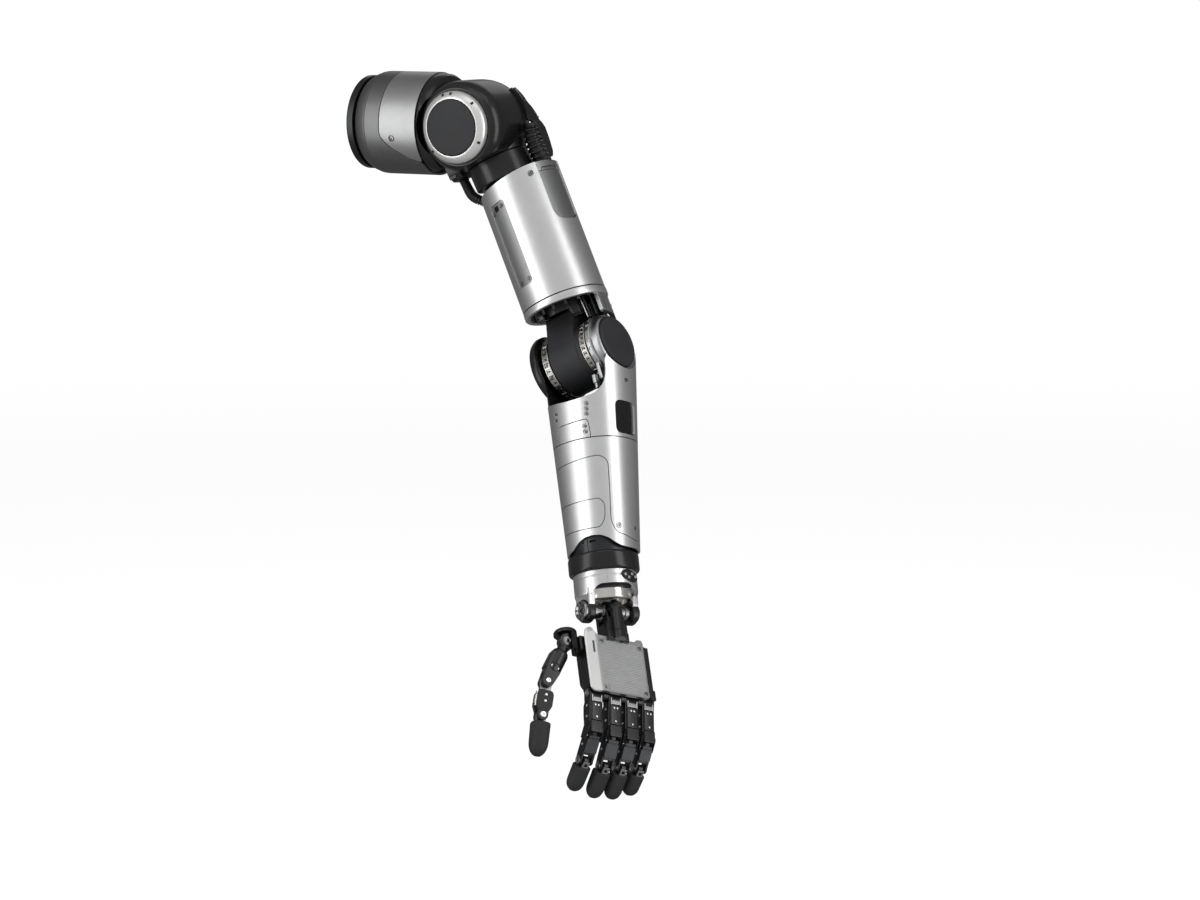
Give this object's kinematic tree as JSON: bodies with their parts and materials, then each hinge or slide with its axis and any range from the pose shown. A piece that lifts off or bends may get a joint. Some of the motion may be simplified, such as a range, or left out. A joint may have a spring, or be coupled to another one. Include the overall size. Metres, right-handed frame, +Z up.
{
  "type": "humanoid robot arm",
  "caption": "Humanoid robot left arm: shoulder drum and ball, tubular upper arm, elbow fork, forearm, two-axis wrist and a five-finger hand with rubber fingertips.",
  "frame": {"origin": "centre of the shoulder mounting flange's flat face, on the shoulder pitch axis", "axes": "+X outboard along the shoulder pitch axis (the robot's left), -Y robot forward, +Z up"},
  "size_m": [0.4252, 0.303, 0.7507],
  "materials": {
    "silver": "satin brushed",
    "grey_metal": "satin",
    "steel": "polished",
    "gunmetal": "dark anodised",
    "black": "satin",
    "cap": "matte",
    "gloss": "gloss",
    "rubber": "matte"
  },
  "bodies": {
    "shoulder_mount": {"shoulder_flange": "black", "pitch_bearing": "steel"},
    "shoulder_yoke": {"shoulder_drum": "silver", "shoulder_drum_liner": "black", "roll_bracket": "black"},
    "shoulder_ball": {"ball_housing": "black", "roll_trim_ring": "steel", "roll_cap": "cap", "neck_collar": "black", "rear_guard": "black", "conduit_rear": "rubber", "conduit_front": "rubber"},
    "upper_arm": {"upper_shell_front": "silver", "upper_shell_rear": "grey_metal", "access_plate": "grey_metal", "conduit_panel": "grey_metal", "upper_end_ring": "silver", "elbow_strut": "grey_metal", "upper_core": "gunmetal", "elbow_barrel": "black", "elbow_bearing_inner": "steel", "elbow_bearing_outer": "steel"},
    "forearm": {"forearm_fork": "silver", "elbow_cap_outer": "cap", "forearm_inner_cheek": "black", "elbow_cap_inner": "cap", "forearm_window": "gloss", "forearm_cover_front": "silver", "forearm_cover_rear": "grey_metal", "forearm_core": "gunmetal"},
    "wrist_rotor": {"wrist_band": "black", "wrist_collar": "silver", "wrist_drive": "steel", "wrist_bearing_cap": "steel"},
    "wrist_cross": {"wrist_cross": "black"},
    "hand": {"palm_chassis": "black", "knuckle_shaft": "steel", "hand_back_plate": "silver", "palm_pad": "rubber", "thumb_base": "black"},
    "index_proximal": {"index_proximal": "gunmetal"},
    "index_middle": {"index_middle": "black"},
    "index_distal": {"index_distal": "steel", "index_tip": "rubber"},
    "middle_proximal": {"middle_proximal": "gunmetal"},
    "middle_middle": {"middle_middle": "black"},
    "middle_distal": {"middle_distal": "steel", "middle_tip": "rubber"},
    "ring_proximal": {"ring_proximal": "gunmetal"},
    "ring_middle": {"ring_middle": "black"},
    "ring_distal": {"ring_distal": "steel", "ring_tip": "rubber"},
    "little_proximal": {"little_proximal": "gunmetal"},
    "little_middle": {"little_middle": "black"},
    "little_distal": {"little_distal": "steel", "little_tip": "rubber"},
    "thumb_metacarpal": {"thumb_metacarpal": "black"},
    "thumb_proximal": {"thumb_proximal": "gunmetal"},
    "thumb_distal": {"thumb_distal": "steel", "thumb_tip": "rubber"}
  },
  "joints": [
    {"name": "shoulder_pitch", "type": "hinge", "parent": "shoulder_mount", "child": "shoulder_yoke", "pos_m": [0.012, 0, 0], "axis": [-1, 0, 0], "range_deg": [-60, 170]},
    {"name": "shoulder_roll", "type": "hinge", "parent": "shoulder_yoke", "child": "shoulder_ball", "pos_m": [0.145, 0, 0], "axis": [0, -1, 0], "range_deg": [-14, 56]},
    {"name": "shoulder_yaw", "type": "hinge", "parent": "shoulder_ball", "child": "upper_arm", "pos_m": [0.17496, 0, -0.05881], "axis": [-0.454, 0, 0.891], "range_deg": [-80, 80], "deforming": ["conduit_rear", "conduit_front"]},
    {"name": "elbow", "type": "hinge", "parent": "upper_arm", "child": "forearm", "pos_m": [0.27275, 0, -0.25073], "axis": [-0.891, 0, -0.454], "range_deg": [-19, 78]},
    {"name": "wrist_turn", "type": "hinge", "parent": "forearm", "child": "wrist_rotor", "pos_m": [0.34266, -0.08124, -0.47991], "axis": [-0.2763, 0.3211, 0.9058], "range_deg": [-90, 90]},
    {"name": "wrist_flex", "type": "hinge", "parent": "wrist_rotor", "child": "wrist_cross", "pos_m": [0.3515, -0.09151, -0.50889], "axis": [0.4445, 0.8784, -0.1758], "range_deg": [-40, 60]},
    {"name": "wrist_deviation", "type": "hinge", "parent": "wrist_cross", "child": "hand", "pos_m": [0.3515, -0.09151, -0.50889], "axis": [-0.7583, 0.2645, -0.5959], "range_deg": [-26, 14]},
    {"name": "index_knuckle", "type": "hinge", "parent": "hand", "child": "index_proximal", "pos_m": [0.37352, -0.16438, -0.57932], "axis": [0.5051, 0.8162, -0.2805], "range_deg": [-20, 60]},
    {"name": "index_middle_joint", "type": "hinge", "parent": "index_proximal", "child": "index_middle", "pos_m": [0.38269, -0.18149, -0.61257], "axis": [0.5051, 0.8162, -0.2805], "range_deg": [-23, 69]},
    {"name": "index_end_joint", "type": "hinge", "parent": "index_middle", "child": "index_distal", "pos_m": [0.3756, -0.18829, -0.64512], "axis": [0.5051, 0.8162, -0.2805], "range_deg": [-8, 24]},
    {"name": "middle_knuckle", "type": "hinge", "parent": "hand", "child": "middle_proximal", "pos_m": [0.38544, -0.14512, -0.58594], "axis": [0.5051, 0.8162, -0.2805], "range_deg": [-20, 60]},
    {"name": "middle_middle_joint", "type": "hinge", "parent": "middle_proximal", "child": "middle_middle", "pos_m": [0.39497, -0.16289, -0.62049], "axis": [0.5051, 0.8162, -0.2805], "range_deg": [-23, 69]},
    {"name": "middle_end_joint", "type": "hinge", "parent": "middle_middle", "child": "middle_distal", "pos_m": [0.38981, -0.17108, -0.6536], "axis": [0.5051, 0.8162, -0.2805], "range_deg": [-8, 24]},
    {"name": "ring_knuckle", "type": "hinge", "parent": "hand", "child": "ring_proximal", "pos_m": [0.39604, -0.12798, -0.59183], "axis": [0.5051, 0.8162, -0.2805], "range_deg": [-20, 60]},
    {"name": "ring_middle_joint", "type": "hinge", "parent": "ring_proximal", "child": "ring_middle", "pos_m": [0.40628, -0.14623, -0.62651], "axis": [0.5051, 0.8162, -0.2805], "range_deg": [-23, 69]},
    {"name": "ring_end_joint", "type": "hinge", "parent": "ring_middle", "child": "ring_distal", "pos_m": [0.40135, -0.15406, -0.65818], "axis": [0.5051, 0.8162, -0.2805], "range_deg": [-8, 24]},
    {"name": "little_knuckle", "type": "hinge", "parent": "hand", "child": "little_proximal", "pos_m": [0.40665, -0.11084, -0.59772], "axis": [0.5051, 0.8162, -0.2805], "range_deg": [-20, 60]},
    {"name": "little_middle_joint", "type": "hinge", "parent": "little_proximal", "child": "little_middle", "pos_m": [0.41718, -0.12921, -0.63224], "axis": [0.5051, 0.8162, -0.2805], "range_deg": [-23, 69]},
    {"name": "little_end_joint", "type": "hinge", "parent": "little_middle", "child": "little_distal", "pos_m": [0.41254, -0.13657, -0.662], "axis": [0.5051, 0.8162, -0.2805], "range_deg": [-8, 24]},
    {"name": "thumb_swing", "type": "hinge", "parent": "hand", "child": "thumb_metacarpal", "pos_m": [0.33547, -0.15505, -0.53012], "axis": [-0.4122, 0.5137, 0.7525], "range_deg": [-45, 20]},
    {"name": "thumb_flex", "type": "hinge", "parent": "thumb_metacarpal", "child": "thumb_proximal", "pos_m": [0.33235, -0.19284, -0.56569], "axis": [0.6894, -0.5259, 0.4982], "range_deg": [-20, 22]},
    {"name": "thumb_end_joint", "type": "hinge", "parent": "thumb_proximal", "child": "thumb_distal", "pos_m": [0.33818, -0.21435, -0.59647], "axis": [0.6894, -0.5259, 0.4982], "range_deg": [-16, 17.6]}
  ],
  "couplings": [
    {"joint": "index_middle_joint", "follows": "index_knuckle", "ratio": 1.15},
    {"joint": "index_end_joint", "follows": "index_knuckle", "ratio": 0.4},
    {"joint": "middle_middle_joint", "follows": "middle_knuckle", "ratio": 1.15},
    {"joint": "middle_end_joint", "follows": "middle_knuckle", "ratio": 0.4},
    {"joint": "ring_middle_joint", "follows": "ring_knuckle", "ratio": 1.15},
    {"joint": "ring_end_joint", "follows": "ring_knuckle", "ratio": 0.4},
    {"joint": "little_middle_joint", "follows": "little_knuckle", "ratio": 1.15},
    {"joint": "little_end_joint", "follows": "little_knuckle", "ratio": 0.4},
    {"joint": "thumb_end_joint", "follows": "thumb_flex", "ratio": 0.8}
  ]
}
